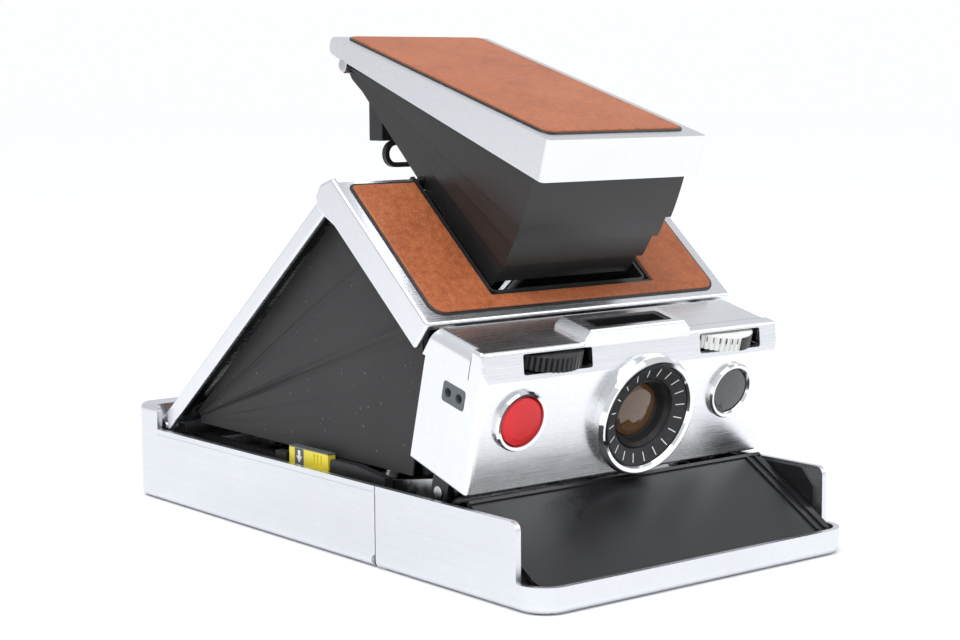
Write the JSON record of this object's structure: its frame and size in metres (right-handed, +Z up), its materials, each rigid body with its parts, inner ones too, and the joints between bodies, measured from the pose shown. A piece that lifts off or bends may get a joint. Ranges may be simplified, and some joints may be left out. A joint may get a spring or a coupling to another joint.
{
  "type": "folding instant camera",
  "caption": "Folding instant camera, opened up: chrome and leather covers, black bellows, lens housing and a raised folding viewfinder.",
  "frame": {"origin": "middle of the footprint, on the surface that the base stands on", "axes": "+Y from the lens towards the back of the base, +X across the camera, +Z up"},
  "size_m": [0.101, 0.178, 0.1282],
  "materials": {
    "satin_chrome": "brushed satin plating",
    "polished_chrome": "polished",
    "tan_leather": "fine grained",
    "black_plastic": "fine moulded grain",
    "grey_plastic": "moulded",
    "black_rubber": "matte folded skin",
    "red_button": "satin",
    "white_plastic": "satin",
    "yellow_plastic": "satin",
    "steel": "bright",
    "brass": "machined",
    "lens_glass": "coated",
    "clear_window": "clear",
    "smoked_window": "smooth",
    "mirror_glass": "front silvered"
  },
  "bodies": {
    "base": {"base_shell": "satin_chrome", "tripod_bush": "brass", "inner_frame": "black_plastic", "side_rails": "black_plastic", "cover_hinge_pins": "steel", "door_hinge_pin": "steel", "support_arms": "steel", "battery_contacts": "steel", "drive_motor": "steel", "counter_window": "clear_window", "bellows": "black_rubber"},
    "counter": {"counter_dial": "white_plastic"},
    "pinion": {"drive_pinion": "brass"},
    "gear": {"drive_gear": "white_plastic"},
    "mirror_carrier": {"fresnel_carrier": "black_plastic", "fresnel_mirror": "mirror_glass"},
    "latch": {"latch_slider": "yellow_plastic"},
    "film_door": {"film_door_shell": "satin_chrome", "door_liners": "black_plastic", "roller_brackets": "steel"},
    "lower_spreader": {"lower_roller": "steel"},
    "upper_spreader": {"upper_roller": "steel"},
    "apron": {"apron_panel": "black_plastic"},
    "shutter": {"shutter_front": "satin_chrome", "shutter_top": "satin_chrome", "shutter_frame": "black_plastic", "shutter_pins": "steel", "lens_ring": "polished_chrome", "lens_barrel": "black_plastic", "front_lens": "lens_glass", "rear_lens": "lens_glass", "button_ring": "polished_chrome", "cell_ring": "polished_chrome", "cell_window": "smoked_window", "flash_socket": "black_plastic", "remote_socket": "grey_plastic"},
    "focus": {"focus_ring": "black_plastic"},
    "focus_thumbwheel": {"focus_wheel": "black_plastic"},
    "exposure_thumbwheel": {"exposure_wheel": "white_plastic"},
    "button": {"shutter_button": "red_button"},
    "blade_left": {"left_blade": "black_plastic"},
    "blade_right": {"right_blade": "black_plastic"},
    "rear_cover": {"rear_cover_shell": "satin_chrome", "rear_cover_leather": "tan_leather", "taking_mirror": "mirror_glass", "cover_rivets": "steel"},
    "front_cover": {"front_cover_shell": "satin_chrome", "front_cover_leather": "tan_leather", "viewfinder_frame": "black_plastic", "shade_section_4": "black_plastic", "view_hinge_pins": "steel"},
    "cap": {"cap_shell": "satin_chrome", "cap_leather": "tan_leather", "viewing_mirror": "mirror_glass"},
    "shade_1": {"shade_section_1": "black_plastic"},
    "shade_2": {"shade_section_2": "black_plastic"},
    "shade_3": {"shade_section_3": "black_plastic"},
    "eyepiece": {"eyepiece_body": "black_plastic", "eyepiece_lens": "clear_window", "eyepiece_loop": "black_plastic"}
  },
  "joints": [
    {"name": "fold", "type": "hinge", "parent": "base", "child": "rear_cover", "pos_m": [0, 0.0765, 0.0208], "axis": [1, 0, 0], "range_deg": [0, 35.8], "deforming": ["bellows"]},
    {"name": "shutter_fold", "type": "hinge", "parent": "base", "child": "shutter", "pos_m": [0, -0.0467, 0.021], "axis": [1, 0, 0], "range_deg": [0, 75.89]},
    {"name": "front_cover_fold", "type": "hinge", "parent": "shutter", "child": "front_cover", "pos_m": [0, -0.0466, 0.0566], "axis": [1, 0, 0], "range_deg": [-116.2, 0]},
    {"name": "eyepiece_fold", "type": "hinge", "parent": "front_cover", "child": "eyepiece", "pos_m": [0, 0.02124, 0.1184], "axis": [1, 0, 0], "range_deg": [-60.96, 0]},
    {"name": "apron_fold", "type": "hinge", "parent": "film_door", "child": "apron", "pos_m": [0, -0.0862, 0.004], "axis": [1, 0, 0], "range_deg": [-35, 0]},
    {"name": "viewfinder_fold", "type": "hinge", "parent": "front_cover", "child": "cap", "pos_m": [0, 0.0198, 0.1207], "axis": [1, 0, 0], "range_deg": [0, 19.6]},
    {"name": "shade_1_fold", "type": "hinge", "parent": "front_cover", "child": "shade_1", "pos_m": [0, 0.0198, 0.1207], "axis": [1, 0, 0], "range_deg": [0, 15.39]},
    {"name": "shade_2_fold", "type": "hinge", "parent": "front_cover", "child": "shade_2", "pos_m": [0, 0.0198, 0.1207], "axis": [1, 0, 0], "range_deg": [0, 10.29]},
    {"name": "shade_3_fold", "type": "hinge", "parent": "front_cover", "child": "shade_3", "pos_m": [0, 0.0198, 0.1207], "axis": [1, 0, 0], "range_deg": [0, 5.2]},
    {"name": "film_door_hinge", "type": "hinge", "parent": "base", "child": "film_door", "pos_m": [0, -0.0274, 0.0015], "axis": [1, 0, 0], "range_deg": [0, 52]},
    {"name": "mirror_swing", "type": "hinge", "parent": "base", "child": "mirror_carrier", "pos_m": [0, 0.0705, 0.01805], "axis": [1, 0, 0], "range_deg": [-37, 0]},
    {"name": "latch_slide", "type": "slide", "parent": "base", "child": "latch", "axis": [0, 0, -1], "range_m": [0, 0.0016], "stiffness_N_per_m": 300},
    {"name": "shutter_button_press", "type": "slide", "parent": "shutter", "child": "button", "axis": [0, 0.9694, 0.2453], "range_m": [0, 0.0012], "stiffness_N_per_m": 400},
    {"name": "focus_wheel_turn", "type": "hinge", "parent": "shutter", "child": "focus_thumbwheel", "pos_m": [-0.0253, -0.05829, 0.05224], "axis": [0, -0.2453, 0.9694], "range_deg": [-150, 150]},
    {"name": "focus_ring_turn", "type": "hinge", "parent": "shutter", "child": "focus", "pos_m": [0.0028, -0.06305, 0.0368], "axis": [0, -0.9694, -0.2453], "range_deg": [-60.1, 60.1]},
    {"name": "exposure_wheel_turn", "type": "hinge", "parent": "shutter", "child": "exposure_thumbwheel", "pos_m": [0.0309, -0.05829, 0.05224], "axis": [0, -0.2453, 0.9694], "range_deg": [-45, 45]},
    {"name": "left_blade_slide", "type": "slide", "parent": "shutter", "child": "blade_left", "axis": [1, 0, 0], "range_m": [0, 0.0105]},
    {"name": "right_blade_slide", "type": "slide", "parent": "shutter", "child": "blade_right", "axis": [1, 0, 0], "range_m": [-0.0106, 0]},
    {"name": "gear_turn", "type": "hinge", "parent": "base", "child": "gear", "pos_m": [0.0436, 0.0727, 0.0086], "axis": [1, 0, 0], "continuous": true},
    {"name": "pinion_turn", "type": "hinge", "parent": "base", "child": "pinion", "pos_m": [0.0436, 0.0823, 0.0112], "axis": [1, 0, 0], "continuous": true},
    {"name": "lower_roller_turn", "type": "hinge", "parent": "film_door", "child": "lower_spreader", "pos_m": [0, -0.038, 0.0058], "axis": [1, 0, 0], "continuous": true},
    {"name": "upper_roller_turn", "type": "hinge", "parent": "film_door", "child": "upper_spreader", "pos_m": [0, -0.038, 0.0131], "axis": [1, 0, 0], "continuous": true},
    {"name": "counter_turn", "type": "hinge", "parent": "base", "child": "counter", "pos_m": [-0.026, 0.0861, 0.014], "axis": [0, 1, 0], "range_deg": [0, 300]}
  ],
  "couplings": [
    {"joint": "shutter_fold", "follows": "fold", "ratio": 2.117},
    {"joint": "front_cover_fold", "follows": "fold", "ratio": -3.243},
    {"joint": "eyepiece_fold", "follows": "fold", "ratio": -1.7},
    {"joint": "apron_fold", "follows": "fold", "ratio": -0.975},
    {"joint": "shade_1_fold", "follows": "viewfinder_fold", "ratio": 0.78},
    {"joint": "shade_2_fold", "follows": "viewfinder_fold", "ratio": 0.52},
    {"joint": "shade_3_fold", "follows": "viewfinder_fold", "ratio": 0.26},
    {"joint": "focus_ring_turn", "follows": "focus_wheel_turn", "ratio": 0.4},
    {"joint": "right_blade_slide", "follows": "left_blade_slide", "ratio": -1},
    {"joint": "pinion_turn", "follows": "gear_turn", "ratio": -1.6667},
    {"joint": "upper_roller_turn", "follows": "lower_roller_turn", "ratio": -1}
  ]
}
